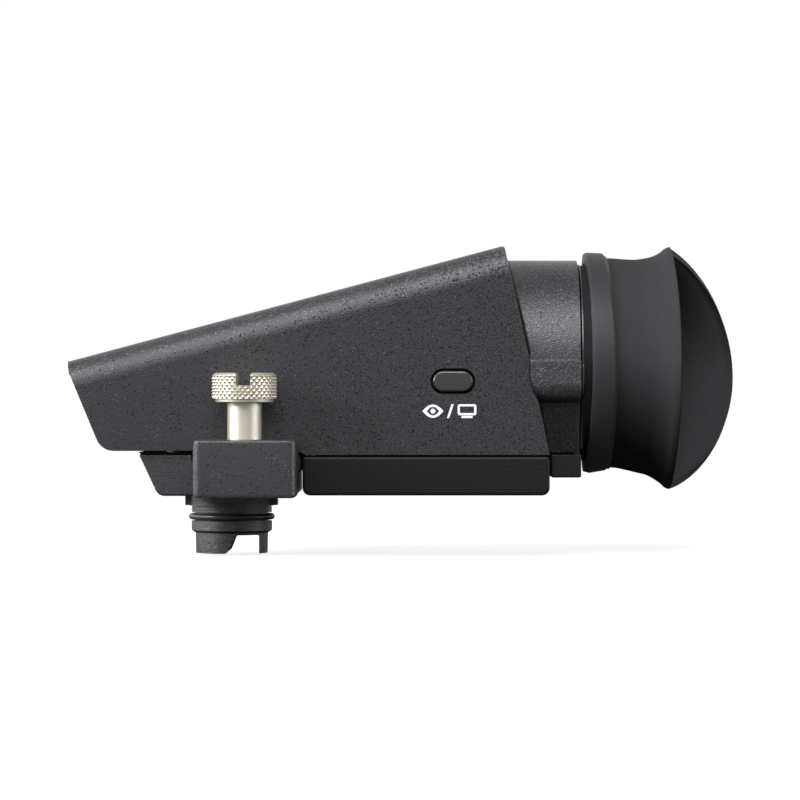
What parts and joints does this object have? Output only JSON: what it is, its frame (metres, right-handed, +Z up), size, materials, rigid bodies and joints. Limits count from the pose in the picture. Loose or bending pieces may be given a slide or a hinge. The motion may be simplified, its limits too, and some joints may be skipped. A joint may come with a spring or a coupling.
{
  "type": "electronic viewfinder",
  "caption": "Wedge-shaped camera viewfinder with a winged rubber eyecup, a keyed and sealed connector plug, a captive thumbscrew, a dioptre dial and a side button.",
  "frame": {"origin": "on the connector plug's axis, in the plane of the foot that seats on the camera", "axes": "+X towards the eyepiece, +Z up, -Y is the side with the button and the thumbscrew"},
  "size_m": [0.1339, 0.0637, 0.0611],
  "materials": {
    "textured_paint": "black textured paint with fine darker specks",
    "cover_plastic": "fine grained black plastic",
    "anodised_plate": "satin black",
    "collar_plastic": "matte black",
    "soft_rubber": "soft matte black",
    "seal_rubber": "smooth black",
    "satin_nickel": "warm satin nickel plating",
    "spring_steel": "plain",
    "black_steel": "blackened",
    "coated_glass": "clear, coated",
    "inner_black": "dead matte black",
    "circuit_board": "green solder mask",
    "chip_resin": "moulded resin",
    "panel_glass": "dark glossy display",
    "ribbon": "amber film",
    "button_plastic": "smooth satin black",
    "plug_plastic": "fine grained black",
    "gold_contact": "gold plated"
  },
  "bodies": {
    "casing": {"upper_casing": "textured_paint", "mount_foot": "textured_paint", "rear_housing": "textured_paint", "bottom_cover": "cover_plastic", "rear_lower_cover": "cover_plastic", "eyepiece_plate": "anodised_plate", "eyepiece_window": "coated_glass", "window_ring": "inner_black", "display_holder": "inner_black", "display_panel": "panel_glass", "display_board": "circuit_board", "display_ribbon": "ribbon", "main_board": "circuit_board", "video_processor": "chip_resin", "ribbon_socket": "chip_resin", "button_switch": "chip_resin", "switch_board": "circuit_board", "plug_barrel": "plug_plastic", "plug_seal_ring": "seal_rubber", "plug_nut": "black_steel", "contact_insert": "chip_resin", "plug_harness": "seal_rubber", "contact_pin_1": "gold_contact", "contact_pin_2": "gold_contact", "contact_pin_3": "gold_contact", "contact_pin_4": "gold_contact", "contact_pin_5": "gold_contact", "contact_pin_6": "gold_contact", "contact_pin_7": "gold_contact", "contact_pin_8": "gold_contact", "cover_screw_1": "black_steel", "cover_screw_2": "black_steel", "cover_screw_3": "black_steel", "cover_screw_4": "black_steel", "foot_screw_1": "spring_steel", "foot_screw_2": "spring_steel", "foot_screw_3": "spring_steel", "foot_screw_4": "spring_steel", "rear_screw_1": "black_steel", "rear_screw_2": "black_steel"},
    "eyecup": {"eyecup_collar": "collar_plastic", "eyecup": "soft_rubber"},
    "lens_carrier": {"lens_carrier": "inner_black", "front_lens": "coated_glass", "middle_lens": "coated_glass", "rear_lens": "coated_glass", "lens_ring": "inner_black"},
    "dioptre_dial": {"dioptre_dial": "button_plastic"},
    "button": {"button_cap": "button_plastic", "switch_plunger": "button_plastic"},
    "screw_ring": {"screw_ring": "spring_steel"},
    "thumbscrew": {"thumbscrew": "satin_nickel"}
  },
  "joints": [
    {"name": "eyecup_turn", "type": "hinge", "parent": "casing", "child": "eyecup", "pos_m": [0.0725, 0, 0.0261], "axis": [1, 0, 0], "continuous": true},
    {"name": "dioptre_turn", "type": "hinge", "parent": "casing", "child": "dioptre_dial", "pos_m": [0.06475, 0.0219, 0.0223], "axis": [0, 1, 0], "range_deg": [-50, 50]},
    {"name": "lens_slide", "type": "slide", "parent": "casing", "child": "lens_carrier", "axis": [1, 0, 0], "range_m": [-0.00115, 0.00115]},
    {"name": "button_press", "type": "slide", "parent": "casing", "child": "button", "axis": [0, 1, 0], "range_m": [0, 0.0005], "stiffness_N_per_m": 600, "springref_m": -0.0004},
    {"name": "screw_slide", "type": "slide", "parent": "casing", "child": "screw_ring", "axis": [0, 0, -1], "range_m": [0, 0.0069]},
    {"name": "screw_turn", "type": "hinge", "parent": "screw_ring", "child": "thumbscrew", "pos_m": [0.0038, -0.0293, 0.018], "axis": [0, 0, 1], "continuous": true}
  ],
  "couplings": [
    {"joint": "dioptre_turn", "follows": "lens_slide", "rad_per_m": 758.8}
  ]
}
